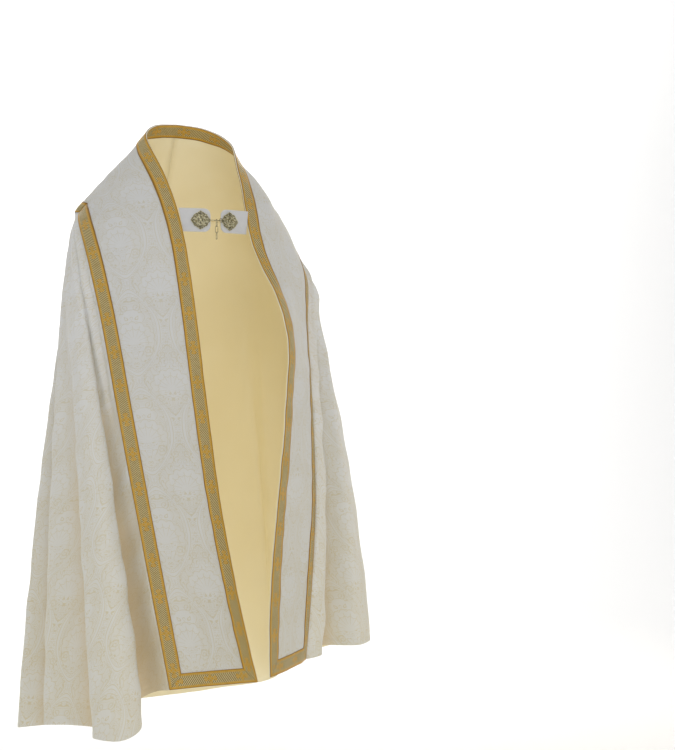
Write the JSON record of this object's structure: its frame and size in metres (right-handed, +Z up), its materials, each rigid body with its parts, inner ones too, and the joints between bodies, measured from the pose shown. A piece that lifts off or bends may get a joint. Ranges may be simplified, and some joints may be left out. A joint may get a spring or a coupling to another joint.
{
  "type": "cope vestment",
  "caption": "Long open church cloak of cream damask with a shield-shaped fringed hood on the back, gold galloon bands down the open fronts, and a chained brass clasp across the chest.",
  "frame": {"origin": "the middle of the neck opening, level with the sides of the neck, where the wearer carries the cope", "axes": "+Z up, -Y the way the wearer faces, +X towards the wearer's left"},
  "size_m": [0.8963, 0.7411, 1.5272],
  "materials": {
    "damask": "ivory silk damask",
    "lining": "pale gold satin",
    "galloon": "woven gold braid",
    "fringe": "twisted antique gold cord",
    "plain_cloth": "plain cream cloth",
    "brass": "antique"
  },
  "bodies": {
    "root": {"body_right": "damask", "body_left": "damask", "orphrey_right": "damask", "orphrey_left": "damask", "hood": "damask", "lining": "lining", "facing_right": "lining", "facing_left": "lining", "galloon_inner": "galloon", "galloon_outer": "galloon", "galloon_hem_right": "galloon", "galloon_hem_left": "galloon", "galloon_centre_back": "galloon", "galloon_inside_neck": "galloon", "hood_galloon": "galloon", "hood_fringe": "fringe", "tab_right": "plain_cloth", "tab_left": "plain_cloth", "plate_right": "brass", "plate_left": "brass", "hook": "brass", "eye": "brass"},
    "link_1": {"link_1": "brass"},
    "link_2": {"link_2": "brass"},
    "link_3": {"link_3": "brass"}
  },
  "joints": [
    {"name": "link_1_swing", "type": "hinge", "parent": "root", "child": "link_1", "pos_m": [0.0068, -0.1536, -0.2095], "axis": [1, 0, 0], "range_deg": [-60, 15]},
    {"name": "link_2_swing", "type": "hinge", "parent": "link_1", "child": "link_2", "pos_m": [0.0068, -0.1536, -0.22378], "axis": [0, 1, 0], "range_deg": [-20, 20]},
    {"name": "link_3_swing", "type": "hinge", "parent": "link_2", "child": "link_3", "pos_m": [0.0068, -0.1536, -0.23922], "axis": [1, 0, 0], "range_deg": [-30, 30]}
  ]
}
